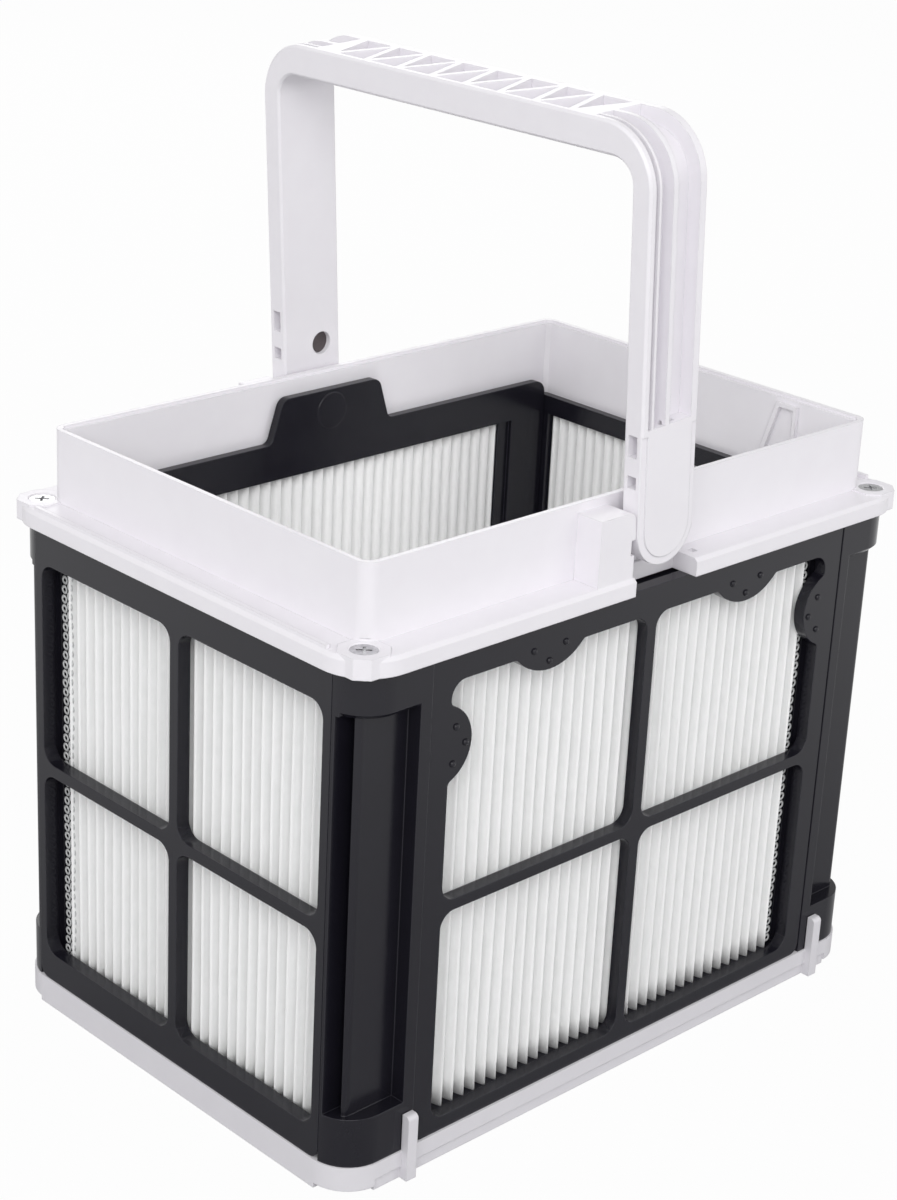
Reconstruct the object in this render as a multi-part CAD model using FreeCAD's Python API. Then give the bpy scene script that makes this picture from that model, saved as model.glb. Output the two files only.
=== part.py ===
import FreeCAD, Part
import math
import os

V = FreeCAD.Vector

# Lift-out canister with four pleated filter cartridges. Millimetres, +Z up.
# The origin is the centre of the footprint, at the height the canister stands on.
# X runs along the long side, Y across it. The front is the long side at -Y.

# Whole canister
LENGTH = 250.0
WIDTH = 174.0
BASE_HEIGHT = 10.0
BODY_HEIGHT = 164.0
PLATE_THICKNESS = 6.0
CORNER_RADIUS = 16.0

# Set-backs from the edge of the top plate, and running clearances
BODY_SET_BACK = 2.4
BASE_SET_BACK = 1.8
COLLAR_SET_BACK = 11.4
SCREW_SET_BACK = 9.2
FIT_GAP = 0.2
SLIDE_GAP = 0.4
SEAT_GAP = 0.2
SWING_GAP = 1.0
CORNER_GAP = 0.4
PIN_GAP = 0.05
REST_GAP = 0.3

# Collar and what stands on the top plate
COLLAR_RISE = 24.6
COLLAR_WALL = 3.0
COLLAR_CORNER_RADIUS = 4.5
RIM_STEP = 1.2
RIM_STEP_DEPTH = 1.0
PLATE_CHAMFER = 1.2
PAD_SIZE = 14.5
PAD_RISE = 0.5
PAD_MARGIN = 0.6
PAD_BEVEL = 3.8
LIP_RISE = 1.2
LIP_WIDTH = 1.6
STOP_WIDTH = 15.6
STOP_RISE = 21.6
STOP_NOTCH = 1.6
STOP_NOTCH_DROP = 7.0
STOP_NOTCH_HEIGHT = 5.0
NOTCH_LEFT = 12.0
NOTCH_RIGHT = 16.0
NOTCH_WALL = 1.4
PEG_HOLE_SIZE = 2.4
PEG_HOLE_DEPTH = 3.0
PEG_HOLE_PLACE = 4.8
GUSSET_THICKNESS = 1.4
GUSSET_RIB = 1.5
GUSSET_DROP = 2.6
GUSSET_RISE = 1.0
GUSSET_PLACE = 48.0
GUSSET_TOP_WIDTH = 9.0
GUSSET_FOOT_WIDTH = 15.5

# Corner posts
POST_LONG_REACH = 28.4
POST_SHORT_REACH = 12.3
BAND_TOP_HEIGHT = 14.0
BAND_BOTTOM_HEIGHT = 17.0
BAND_CHAMFER = 1.5
FACET_SET_BACK = 5.4
FACET_END_ROUND = 2.5
FLANK_SET_BACK = 4.0
POCKET_WIDTH = 4.2
POCKET_DEPTH = 16.0
POCKET_WALL = 1.1
RIB_WIDTH = 4.4

# Window frames
LONG_FRAME_RECESS = 0.3
LONG_FRAME_DEPTH = 4.2
LONG_TONGUE = 2.6
LONG_TONGUE_DEPTH = 2.8
LONG_STILE = 7.8
LONG_SILL = 4.8
LONG_HEAD = 9.5
LONG_BAR = 4.0
LONG_RAIL = 3.8
LONG_RAIL_RISE = 78.0
SHORT_FRAME_DEPTH = 4.8
SHORT_STILE = 3.3
SHORT_SILL = 10.2
SHORT_HEAD = 11.7
SHORT_BAR = 4.0
SHORT_RAIL = 4.2
SHORT_RAIL_RISE = 77.7
WINDOW_RADIUS = 5.5
FRAME_FOOT_RADIUS = 4.0
GRIP_BLEND = 2.0
TOP_GRIP_WIDTH = 29.0
TOP_GRIP_DEPTH = 6.5
TOP_GRIP_PLACE = 45.5
SIDE_GRIP_WIDTH = 25.0
SIDE_GRIP_DEPTH = 9.0
SIDE_GRIP_DROP = 29.5

# Cartridges
CARTRIDGE_PLATE = 3.0
LONG_CARTRIDGE_RISE = 3.0
SHORT_CARTRIDGE_DROP = 3.0
CARTRIDGE_SILL = 4.0
SURROUND_HEAD = 3.0
LONG_SURROUND_WALL = 9.5
SHORT_SURROUND_WALL = 5.3
REBATE_WIDTH = 3.0
REBATE_DEPTH = 3.0
PLATE_STEP = 5.5
PLATE_TOP_RADIUS = 5.0
CARTRIDGE_BEVEL = 1.2
TAB_WIDTH = 54.0
TAB_TOP_WIDTH = 44.0
TAB_RISE = 15.5
TAB_RADIUS = 4.0
TAB_BLEND = 3.0
TAB_DISC_RADIUS = 6.5
TAB_DISC_RISE = 0.3

# Pleated media
PLEAT_PITCH = 4.2
PLEAT_DEPTH = 7.5
PLEAT_SHEET = 1.6
LONG_STRIP = 2.5
SHORT_STRIP = 5.5
STRIP_THICKNESS = 0.8
MEDIA_GAP = 0.1

# Handle
HANDLE_WIDTH = 25.0
HANDLE_LEG = 7.7
HANDLE_BAR = 10.3
HANDLE_SIDE_GAP = 0.2
HANDLE_LEAN = 3.5
HANDLE_CORNER_RADIUS = 19.0
HANDLE_INNER_RADIUS = 8.0
HANDLE_CHAMFER = 0.8
FOOT_GAP = 2.0
REACH_GAP = 1.0
LEDGE_RISE = 33.5
CHANNEL_DEPTH = 5.0
LEFT_FLANGE = 2.4
RIGHT_FLANGE = 3.4
NARROW_GROOVE = 1.4
THIN_RIB = 1.1
MIDDLE_GROOVE = 5.0
CENTRE_RIB = 2.0
TRUSS_CELLS = 8
TRUSS_HALF_LENGTH = 62.0
TRUSS_RIB = 1.7
FOOT_BORDER = 2.6
FOOT_STEP = 0.5
LEG_POCKET_WIDTH = 3.4
LEG_POCKET_DEPTH = 4.0
UPPER_POCKET_RISE = 24.5
UPPER_POCKET_HEIGHT = 7.0
LOWER_POCKET_RISE = 14.5
LOWER_POCKET_HEIGHT = 4.0
DIMPLE_RADIUS = 4.0
DIMPLE_DEPTH = 2.2
DIMPLE_RISE = 17.5
DIMPLE_PLACE = 4.0
SLIT_WIDTH = 6.4
SLIT_THICKNESS = 1.0
SLIT_DEPTH = 4.0

# Handle pivots
PIVOT_RADIUS = 2.5
PIVOT_SKIN = 0.8
PIVOT_BITE = 5.6
BOSS_RADIUS = 6.0

# Base tray and its inlets
BASE_WALL = 3.0
BASE_FLOOR = 3.0
SKIRT_STEP_Z = 4.2
SKIRT_STEP = 0.7
CORNER_LIFT = 1.7
CORNER_LIFT_LENGTH = 13.5
FIN_WIDTH = 4.0
FIN_REACH = 2.6
FIN_RISE = 23.0
FIN_LEFT = 99.0
FIN_RIGHT = 98.0
INLET_PLACE = 42.0
INLET_LENGTH = 44.0
INLET_WIDTH = 48.0
INLET_WALL = 2.5
INLET_RISE = 12.0
INLET_BEVEL = 2.0

# Inlet flaps
FLAP_THICKNESS = 2.0
FLAP_OVERHANG = 1.5
FLAP_PIN_RADIUS = 1.25
KNUCKLE_RADIUS = 2.8
EAR_THICKNESS = 4.0
EAR_WIDTH = 6.0
EAR_CROWN = 2.6
EAR_BEVEL = 1.7
EAR_STANDOFF = 1.0

# Screws
SCREW_HEAD_RADIUS = 4.2
SCREW_HEAD_DEPTH = 2.2
SCREW_SHANK_RADIUS = 1.75
SCREW_LENGTH = 16.0
SCREW_SLOT_LENGTH = 4.6
SCREW_SLOT_WIDTH = 0.9
SCREW_SLOT_DEPTH = 1.4

# Heights and half sizes that follow
BODY_TOP_Z = BASE_HEIGHT + BODY_HEIGHT
PLATE_TOP_Z = BODY_TOP_Z + PLATE_THICKNESS
RIM_Z = PLATE_TOP_Z + COLLAR_RISE
HALF_X = LENGTH / 2
HALF_Y = WIDTH / 2
BODY_X = HALF_X - BODY_SET_BACK
BODY_Y = HALF_Y - BODY_SET_BACK
BODY_RADIUS = CORNER_RADIUS - BODY_SET_BACK
BASE_X = HALF_X - BASE_SET_BACK
BASE_Y = HALF_Y - BASE_SET_BACK
BASE_RADIUS = CORNER_RADIUS - BASE_SET_BACK
COLLAR_X = HALF_X - COLLAR_SET_BACK
COLLAR_Y = HALF_Y - COLLAR_SET_BACK
WELL_X = COLLAR_X - COLLAR_WALL
WELL_Y = COLLAR_Y - COLLAR_WALL
SCREW_X = HALF_X - SCREW_SET_BACK
SCREW_Y = HALF_Y - SCREW_SET_BACK
LONG_FRAME_HALF = BODY_X - POST_LONG_REACH
SHORT_FRAME_HALF = BODY_Y - POST_SHORT_REACH
LONG_WINDOW_HALF = LONG_FRAME_HALF - LONG_STILE
SHORT_WINDOW_HALF = SHORT_FRAME_HALF - SHORT_STILE
LONG_RAIL_Z = BASE_HEIGHT + LONG_RAIL_RISE
SHORT_RAIL_Z = BASE_HEIGHT + SHORT_RAIL_RISE
SIDE_GRIP_Z = BODY_TOP_Z - SIDE_GRIP_DROP
LONG_FRAME_FACE_Y = BODY_Y - LONG_FRAME_RECESS
LONG_FACE_Y = WELL_Y - SLIDE_GAP
SHORT_FACE_X = WELL_X - SLIDE_GAP
LONG_SURROUND_Y = LONG_FRAME_FACE_Y - LONG_FRAME_DEPTH - SLIDE_GAP
SHORT_SURROUND_X = BODY_X - SHORT_FRAME_DEPTH - SLIDE_GAP
LONG_SURROUND_HALF = LONG_FRAME_HALF - FIT_GAP
SHORT_SURROUND_HALF = SHORT_FRAME_HALF - FIT_GAP
LONG_CARTRIDGE_HALF = SHORT_FACE_X - CARTRIDGE_PLATE - CORNER_GAP
LONG_OPENING_HALF = LONG_SURROUND_HALF - LONG_SURROUND_WALL
SHORT_OPENING_HALF = SHORT_SURROUND_HALF - SHORT_SURROUND_WALL
CARTRIDGE_Z = BASE_HEIGHT + SEAT_GAP
LONG_CARTRIDGE_TOP_Z = PLATE_TOP_Z + LONG_CARTRIDGE_RISE
SHORT_CARTRIDGE_TOP_Z = PLATE_TOP_Z - SHORT_CARTRIDGE_DROP
SURROUND_TOP_Z = BODY_TOP_Z - SWING_GAP
MEDIA_BOTTOM_Z = CARTRIDGE_Z + CARTRIDGE_SILL
MEDIA_TOP_Z = SURROUND_TOP_Z - SURROUND_HEAD
FOOT_RADIUS = HANDLE_WIDTH / 2
PIVOT_Z = PLATE_TOP_Z + FOOT_GAP + FOOT_RADIUS
LEG_OUTER_Y = HALF_Y - HANDLE_SIDE_GAP
LEG_INNER_Y = LEG_OUTER_Y - HANDLE_LEG
BAR_INNER_Z = PIVOT_Z + COLLAR_X + REACH_GAP
BAR_OUTER_Z = BAR_INNER_Z + HANDLE_BAR
FLAP_Z = BASE_HEIGHT + INLET_RISE + REST_GAP


def box(x0, x1, y0, y1, z0, z1):
    """Block between two corners."""
    return Part.makeBox(x1 - x0, y1 - y0, z1 - z0, V(x0, y0, z0))


def rod(radius, start, axis, length):
    """Round rod from a start point along an axis."""
    return Part.makeCylinder(radius, length, start, axis)


def edges_along(solid, axis):
    """Straight edges of a solid that run along an axis."""
    found = []
    for edge in solid.Edges:
        ends = [vertex.Point for vertex in edge.Vertexes]
        if len(ends) == 2 and isinstance(edge.Curve, Part.Line):
            run = ends[1].sub(ends[0])
            if run.cross(axis).Length < 1e-6 * run.Length:
                found.append(edge)
    return found


def rounded_box(x0, x1, y0, y1, z0, z1, radius, axis=V(0, 0, 1)):
    """Block whose four edges along one axis are rounded."""
    block = box(x0, x1, y0, y1, z0, z1)
    return block.makeFillet(radius, edges_along(block, axis))


def bevelled_box(x0, x1, y0, y1, z0, z1, size):
    """Block whose four upright edges are bevelled."""
    block = box(x0, x1, y0, y1, z0, z1)
    return block.makeChamfer(size, edges_along(block, V(0, 0, 1)))


def slab(half_x, half_y, z0, z1, radius):
    """Block centred on the Z axis with rounded corners in plan."""
    return rounded_box(-half_x, half_x, -half_y, half_y, z0, z1, radius)


def prism(points, direction):
    """Closed polygon swept straight along a direction."""
    corners = [V(*point) for point in points]
    wire = Part.makePolygon(corners + [corners[0]])
    return Part.Face(wire).extrude(direction)


def mirror_x(shape):
    """Copy on the other side of the YZ plane."""
    return shape.mirror(V(0, 0, 0), V(1, 0, 0))


def mirror_y(shape):
    """Copy on the other side of the XZ plane."""
    return shape.mirror(V(0, 0, 0), V(0, 1, 0))


def turned(shape, degrees):
    """Copy turned about the Z axis."""
    copy = shape.copy()
    copy.rotate(V(0, 0, 0), V(0, 0, 1), degrees)
    return copy


def four_corners(shape):
    """The shape and its mirror images in the four quadrants."""
    pair = [shape, mirror_x(shape)]
    return pair + [mirror_y(item) for item in pair]


def rounded_where(solid, radius, wanted):
    """Round the edges whose midpoint passes a test."""
    chosen = []
    for edge in solid.Edges:
        middle = edge.valueAt((edge.FirstParameter + edge.LastParameter) / 2)
        if wanted(middle):
            chosen.append(edge)
    return solid.makeFillet(radius, chosen)


def chamfered_where(solid, size, wanted):
    """Bevel the edges whose midpoint passes a test."""
    chosen = []
    for edge in solid.Edges:
        middle = edge.valueAt((edge.FirstParameter + edge.LastParameter) / 2)
        if wanted(middle):
            chosen.append(edge)
    return solid.makeChamfer(size, chosen)


def one_solid(shape):
    """The single solid of a result, without leftover seams."""
    clean = shape.removeSplitter()
    if len(clean.Solids) != 1:
        raise ValueError("expected one solid, got %d" % len(clean.Solids))
    return clean.Solids[0]


def save(name, shape):
    """Write one named piece."""
    if not shape.isValid():
        raise ValueError(name + " is not a valid shape")
    shape.exportStep("parts/" + name + ".step")


def screw_hole(radius, z0, z1):
    """Hole for a corner screw, in the first quadrant."""
    return rod(radius, V(SCREW_X, SCREW_Y, z0), V(0, 0, 1), z1 - z0)


def countersunk_screw():
    """Corner screw with its head up."""
    head_top = PLATE_TOP_Z + PAD_RISE - REST_GAP
    head_bottom = head_top - SCREW_HEAD_DEPTH
    place = V(SCREW_X, SCREW_Y, head_bottom)
    head = Part.makeCone(SCREW_SHANK_RADIUS, SCREW_HEAD_RADIUS, SCREW_HEAD_DEPTH, place)
    return head.fuse(screw_hole(SCREW_SHANK_RADIUS, head_top - SCREW_LENGTH, head_bottom))


def screw_seat():
    """Countersunk hole for a corner screw, its cone run on to the top of the pad."""
    bottom = PLATE_TOP_Z + PAD_RISE - REST_GAP - SCREW_HEAD_DEPTH
    shank = SCREW_SHANK_RADIUS + PIN_GAP
    slope = (SCREW_HEAD_RADIUS - SCREW_SHANK_RADIUS) / SCREW_HEAD_DEPTH
    height = SCREW_HEAD_DEPTH + REST_GAP + 1
    cone = Part.makeCone(shank, shank + slope * height, height, V(SCREW_X, SCREW_Y, bottom))
    return cone.fuse(screw_hole(shank, BODY_TOP_Z - 1, bottom))


def top_plate():
    """Plate with its collar, screw pads, handle stops, leg notches and pivot bosses."""
    plate = slab(HALF_X, HALF_Y, BODY_TOP_Z, PLATE_TOP_Z, CORNER_RADIUS)
    plate = chamfered_where(plate, PLATE_CHAMFER, lambda p: abs(p.z - PLATE_TOP_Z) < 1e-6)
    collar = slab(COLLAR_X, COLLAR_Y, BODY_TOP_Z, RIM_Z, COLLAR_CORNER_RADIUS)
    shape = plate.fuse(collar)
    shape = shape.fuse(screw_pads())
    shape = shape.fuse(end_lips())
    for side in (-1, 1):
        shape = shape.fuse(handle_stop(side))
        shape = shape.fuse(pivot_boss(side))
    bevel = COLLAR_CORNER_RADIUS - COLLAR_WALL
    shape = shape.cut(bevelled_box(-WELL_X, WELL_X, -WELL_Y, WELL_Y, BODY_TOP_Z - 1, RIM_Z + 1, bevel))
    x = WELL_X + RIM_STEP
    y = WELL_Y + RIM_STEP
    shape = shape.cut(bevelled_box(-x, x, -y, y, RIM_Z - RIM_STEP_DEPTH, RIM_Z + 1, bevel + RIM_STEP / 2))
    for side in (-1, 1):
        shape = shape.cut(leg_notch(side))
        shape = shape.cut(peg_hole(side))
        shape = shape.cut(pivot_bore(side))
    rib = collar_rib()
    shape = shape.fuse([rib, turned(rib, 180)])
    shape = shape.cut(four_corners(screw_seat()))
    return one_solid(shape)


def screw_pads():
    """Low rounded squares round the four corner screws."""
    reach = PAD_SIZE / 2
    edge_x = HALF_X - PLATE_CHAMFER - PAD_MARGIN
    edge_y = HALF_Y - PLATE_CHAMFER - PAD_MARGIN
    top = PLATE_TOP_Z + PAD_RISE
    pad = bevelled_box(SCREW_X - reach, edge_x, SCREW_Y - reach, edge_y, BODY_TOP_Z, top, PAD_BEVEL)
    return four_corners(pad)


def end_lips():
    """Low lips along the two short edges of the plate."""
    outer = HALF_X - PLATE_CHAMFER
    half = SCREW_Y - PAD_SIZE / 2
    lip = box(outer - LIP_WIDTH, outer, -half, half, BODY_TOP_Z, PLATE_TOP_Z + LIP_RISE)
    return [lip, mirror_x(lip)]


def handle_stop(side):
    """Upright block that the handle leans on, outside the collar."""
    right = -FOOT_RADIUS - REST_GAP
    left = right - STOP_WIDTH
    top = PLATE_TOP_Z + STOP_RISE
    outer = HALF_Y - PLATE_CHAMFER
    lean = (top - PIVOT_Z) * math.tan(math.radians(HANDLE_LEAN)) + REST_GAP
    outline = [(left, 0, BODY_TOP_Z), (right, 0, BODY_TOP_Z), (right, 0, PIVOT_Z),
               (right - lean, 0, top), (left, 0, top)]
    block = prism(outline, V(0, outer, 0))
    block = rounded_where(block, 2.5, lambda p: abs(p.x - right + lean) < 1e-6 and abs(p.z - top) < 1e-6)
    block = block.cut(box(right - STOP_NOTCH, right + 1, outer - 4, outer + 1,
                          PIVOT_Z - STOP_NOTCH_DROP, PIVOT_Z - STOP_NOTCH_DROP + STOP_NOTCH_HEIGHT))
    block = block.cut(box(left - 1, right + 1, -1, COLLAR_Y - 1, BODY_TOP_Z - 1, RIM_Z))
    return block if side > 0 else mirror_y(block)


def pivot_boss(side):
    """Round boss on the collar that spaces the handle's leg."""
    length = LEG_INNER_Y - REST_GAP - COLLAR_Y + 1
    boss = rod(BOSS_RADIUS, V(0, COLLAR_Y - 1, PIVOT_Z), V(0, 1, 0), length)
    return boss if side > 0 else mirror_y(boss)


def pivot_bore(side):
    """Blind bore for the pivot pin, through the boss and most of the collar wall."""
    bore = rod(PIVOT_RADIUS + PIN_GAP, V(0, WELL_Y + PIVOT_SKIN, PIVOT_Z), V(0, 1, 0), LEG_OUTER_Y - WELL_Y)
    return bore if side > 0 else mirror_y(bore)


def leg_notch(side):
    """Slot in the plate's long edge under the foot of the handle."""
    near = COLLAR_Y + NOTCH_WALL
    slot = box(-NOTCH_LEFT, NOTCH_RIGHT, near, HALF_Y + 1, BODY_TOP_Z - 1, PLATE_TOP_Z + 1)
    return slot if side > 0 else mirror_y(slot)


def peg_hole(side):
    """Small square hole in the plate beside the slot."""
    x = NOTCH_RIGHT + PEG_HOLE_PLACE
    y = (COLLAR_Y + HALF_Y - PLATE_CHAMFER) / 2
    reach = PEG_HOLE_SIZE / 2
    hole = box(x - reach, x + reach, y - reach, y + reach, PLATE_TOP_Z - PEG_HOLE_DEPTH, PLATE_TOP_Z + 1)
    return hole if side > 0 else mirror_y(hole)


def rib_outline(inset, low, high):
    """Trapezoid on the collar's end wall at +X, upright on one side and sloped on the other."""
    near = GUSSET_PLACE - inset
    slope = (GUSSET_FOOT_WIDTH - GUSSET_TOP_WIDTH) / (RIM_Z - GUSSET_DROP - PLATE_TOP_Z - GUSSET_RISE)
    top = near - GUSSET_TOP_WIDTH + 2 * inset
    foot = top - slope * (high - low)
    return [(-near, low), (-near, high), (-top, high), (-foot, low)]


def collar_rib():
    """Raised rib round a trapezoid on the inside of the collar's end wall at +X."""
    low = PLATE_TOP_Z + GUSSET_RISE
    high = RIM_Z - GUSSET_DROP
    x = WELL_X - GUSSET_THICKNESS
    whole = [(x, y, z) for y, z in rib_outline(0, low, high)]
    inside = [(x, y, z) for y, z in rib_outline(GUSSET_RIB, low - 1, high - GUSSET_RIB)]
    return prism(whole, V(GUSSET_THICKNESS + 1, 0, 0)).cut(prism(inside, V(GUSSET_THICKNESS, 0, 0)))


def post_plan(z0, z1):
    """Full plan of one corner post, rounded at the canister's corner."""
    block = box(LONG_FRAME_HALF + FIT_GAP, HALF_X, SHORT_FRAME_HALF + FIT_GAP, HALF_Y, z0, z1)
    return slab(BODY_X, BODY_Y, z0, z1, BODY_RADIUS).common(block)


def corner_post():
    """Corner post of the first quadrant: end bands, a set-back facet, an end pocket and a rib."""
    shape = post_plan(BASE_HEIGHT, BODY_TOP_Z)
    low = BASE_HEIGHT + BAND_BOTTOM_HEIGHT
    high = BODY_TOP_Z - BAND_TOP_HEIGHT
    rib_inner = LONG_FRAME_HALF + FIT_GAP + RIB_WIDTH
    facet_y = BODY_Y - FACET_SET_BACK
    shape = shape.cut(facet_cut(rib_inner, facet_y, low, high))
    shape = shape.makeChamfer(BAND_CHAMFER, band_edges(shape, high))
    inner_y = SHORT_FRAME_HALF + FIT_GAP
    pocket_y = inner_y + POCKET_WALL
    pocket = box(BODY_X - POCKET_DEPTH, BODY_X + 1, pocket_y, pocket_y + POCKET_WIDTH, low, high)
    shape = shape.cut(pocket)
    tongue_y = LONG_FRAME_FACE_Y - LONG_FRAME_DEPTH + LONG_TONGUE_DEPTH + FIT_GAP
    tongue_x = LONG_FRAME_HALF + LONG_TONGUE + FIT_GAP
    shape = shape.cut(box(0, tongue_x, 0, tongue_y, BASE_HEIGHT - 1, BODY_TOP_Z + 1))
    shank = SCREW_SHANK_RADIUS + PIN_GAP
    head_top = PLATE_TOP_Z + PAD_RISE - REST_GAP
    shape = shape.cut(screw_hole(shank, head_top - SCREW_LENGTH - REST_GAP, BODY_TOP_Z + 1))
    return one_solid(shape)


def band_edges(shape, high):
    """Outer lower edges of the top band, where it stands proud of the facet."""
    corner = V(BODY_X - BODY_RADIUS, BODY_Y - BODY_RADIUS, high)
    found = []
    for edge in shape.Edges:
        middle = edge.valueAt((edge.FirstParameter + edge.LastParameter) / 2)
        level = all(abs(vertex.Z - high) < 1e-6 for vertex in edge.Vertexes) and abs(middle.z - high) < 1e-6
        outer = abs(middle.y - BODY_Y) < 1e-6 or abs(middle.x - BODY_X) < 1e-6
        round_corner = abs(middle.sub(corner).Length - BODY_RADIUS) < 1e-6
        if level and (outer or round_corner):
            found.append(edge)
    return found


def facet_cut(rib_inner, facet_y, low, high):
    """Space in front of the set-back facet, with sloped ends under the bands."""
    edge_x = BODY_X - FLANK_SET_BACK
    outside = box(rib_inner, BODY_X + 1, facet_y, BODY_Y + 1, low, high)
    side = box(edge_x, BODY_X + 1, facet_y - POCKET_WIDTH, BODY_Y + 1, low, high)
    keep = box(rib_inner - 1, edge_x, facet_y - 2 * POCKET_WIDTH, facet_y, low - 1, high + 1)
    edge = [item for item in edges_along(keep, V(0, 0, 1))
            if item.Vertexes[0].X > edge_x - 1e-6 and item.Vertexes[0].Y > facet_y - 1e-6]
    keep = keep.makeFillet(FACET_END_ROUND, edge)
    whole = outside.fuse(side).fuse(box(rib_inner, edge_x, facet_y - POCKET_WIDTH, facet_y, low, high))
    return whole.cut(keep).removeSplitter()


def grille(half, window_half, z_windows, bar, faces, holes_radius):
    """Flat wall in the XZ plane with two by two windows between its two faces."""
    y0, y1 = faces
    wall = rounded_box(-half, half, y0, y1, BASE_HEIGHT, BODY_TOP_Z, FRAME_FOOT_RADIUS, V(0, 1, 0))
    square_top = box(-half, half, y0, y1, BODY_TOP_Z - 2 * FRAME_FOOT_RADIUS, BODY_TOP_Z)
    wall = wall.fuse(square_top)
    windows = []
    for z0, z1 in z_windows:
        window = rounded_box(bar / 2, window_half, y0 - 1, y1 + 1, z0, z1, holes_radius, V(0, 1, 0))
        windows += [window, mirror_x(window)]
    return wall.cut(windows).removeSplitter(), windows


def grip(width, depth, centre, toward, faces):
    """Round lobe that reaches into a window from a straight edge."""
    y0, y1 = faces
    radius = (width * width / 4 + depth * depth) / (2 * depth)
    middle = centre.sub(toward * (radius - depth))
    return rod(radius, V(middle.x, y0, middle.z), V(0, 1, 0), y1 - y0)


def blended_grips(wall, head_z):
    """Round the inside corners where the finger grips meet the window's edges."""
    spots = []
    for side in (-1, 1):
        for step in (-1, 1):
            spots.append((side * TOP_GRIP_PLACE + step * TOP_GRIP_WIDTH / 2, head_z))
            spots.append((side * LONG_WINDOW_HALF, SIDE_GRIP_Z + step * SIDE_GRIP_WIDTH / 2))
    return rounded_where(wall, GRIP_BLEND, lambda p: any(math.hypot(p.x - x, p.z - z) < 1e-3 for x, z in spots))


def long_window_frame():
    """Removable two by two window frame of the long side at +Y, with finger grips."""
    faces = (LONG_FRAME_FACE_Y - LONG_FRAME_DEPTH, LONG_FRAME_FACE_Y)
    rows = [(BASE_HEIGHT + LONG_SILL, LONG_RAIL_Z), (LONG_RAIL_Z + LONG_RAIL, BODY_TOP_Z - LONG_HEAD)]
    wall, windows = grille(LONG_FRAME_HALF, LONG_WINDOW_HALF, rows, LONG_BAR, faces, WINDOW_RADIUS)
    head_z = BODY_TOP_Z - LONG_HEAD
    grips = []
    for side in (-1, 1):
        centre = V(side * TOP_GRIP_PLACE, 0, head_z)
        lobe = grip(TOP_GRIP_WIDTH, TOP_GRIP_DEPTH, centre, V(0, 0, -1), faces)
        keep = box(centre.x - TOP_GRIP_WIDTH, centre.x + TOP_GRIP_WIDTH, *faces,
                   head_z - 2 * TOP_GRIP_DEPTH, head_z + GRIP_BLEND)
        grips.append(lobe.common(keep))
        edge = V(side * LONG_WINDOW_HALF, 0, SIDE_GRIP_Z)
        lobe = grip(SIDE_GRIP_WIDTH, SIDE_GRIP_DEPTH, edge, V(-side, 0, 0), faces)
        near = sorted((side * (LONG_WINDOW_HALF - 2 * SIDE_GRIP_DEPTH), side * (LONG_WINDOW_HALF + GRIP_BLEND)))
        keep = box(near[0], near[1], *faces, SIDE_GRIP_Z - SIDE_GRIP_WIDTH, SIDE_GRIP_Z + SIDE_GRIP_WIDTH)
        grips.append(lobe.common(keep))
    wall = blended_grips(one_solid(wall.fuse(grips)), head_z)
    wide = LONG_FRAME_HALF + LONG_TONGUE
    low = BASE_HEIGHT + FRAME_FOOT_RADIUS
    tongue = box(-wide, wide, faces[0], faces[0] + LONG_TONGUE_DEPTH, low, BODY_TOP_Z)
    tongue = tongue.cut(box(-LONG_FRAME_HALF, LONG_FRAME_HALF, *faces, 0, RIM_Z))
    return one_solid(wall.fuse(tongue))


def short_window_frame():
    """Two by two window frame of the short side at +X, flush with the posts."""
    faces = (BODY_X - SHORT_FRAME_DEPTH, BODY_X)
    rows = [(BASE_HEIGHT + SHORT_SILL, SHORT_RAIL_Z), (SHORT_RAIL_Z + SHORT_RAIL, BODY_TOP_Z - SHORT_HEAD)]
    wall, windows = grille(SHORT_FRAME_HALF, SHORT_WINDOW_HALF, rows, SHORT_BAR, faces, WINDOW_RADIUS)
    return turned(one_solid(wall), -90)


def plate_with_tab(half, top_z):
    """Flat plate of the long cartridge at +Y, with its pull tab standing on the top edge."""
    inner = LONG_FACE_Y - CARTRIDGE_PLATE
    foot = TAB_WIDTH / 2
    crown = TAB_TOP_WIDTH / 2
    tab_z = top_z + TAB_RISE
    outline = [(-half, CARTRIDGE_Z), (half, CARTRIDGE_Z), (half, top_z), (foot, top_z), (crown, tab_z),
               (-crown, tab_z), (-foot, top_z), (-half, top_z)]
    plate = prism([(x, inner, z) for x, z in outline], V(0, CARTRIDGE_PLATE, 0))
    rounds = [(half, top_z, PLATE_TOP_RADIUS), (foot, top_z, TAB_BLEND), (crown, tab_z, TAB_RADIUS)]
    for x, z, radius in rounds:
        plate = rounded_where(plate, radius, lambda p: math.hypot(abs(p.x) - x, p.z - z) < 1e-6)
    disc = rod(TAB_DISC_RADIUS, V(0, inner - TAB_DISC_RISE, top_z + TAB_RISE / 2), V(0, 1, 0), 1)
    return plate.fuse(disc)


def surround(face, outer, half, opening_half):
    """Deep part of a cartridge at +Y that holds the media, with a rebate down each side of its opening."""
    ring = box(-half, half, face - CARTRIDGE_PLATE, outer, CARTRIDGE_Z, SURROUND_TOP_Z)
    floor = outer - REBATE_DEPTH
    wide = opening_half + REBATE_WIDTH
    return ring.cut(box(-wide, wide, floor, outer + 1, MEDIA_BOTTOM_Z, MEDIA_TOP_Z))


def media_opening(face, outer, half):
    """Way through a cartridge at +Y that the media fills."""
    return box(-half, half, face - 2 * CARTRIDGE_PLATE, outer + 1, MEDIA_BOTTOM_Z, MEDIA_TOP_Z)


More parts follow.
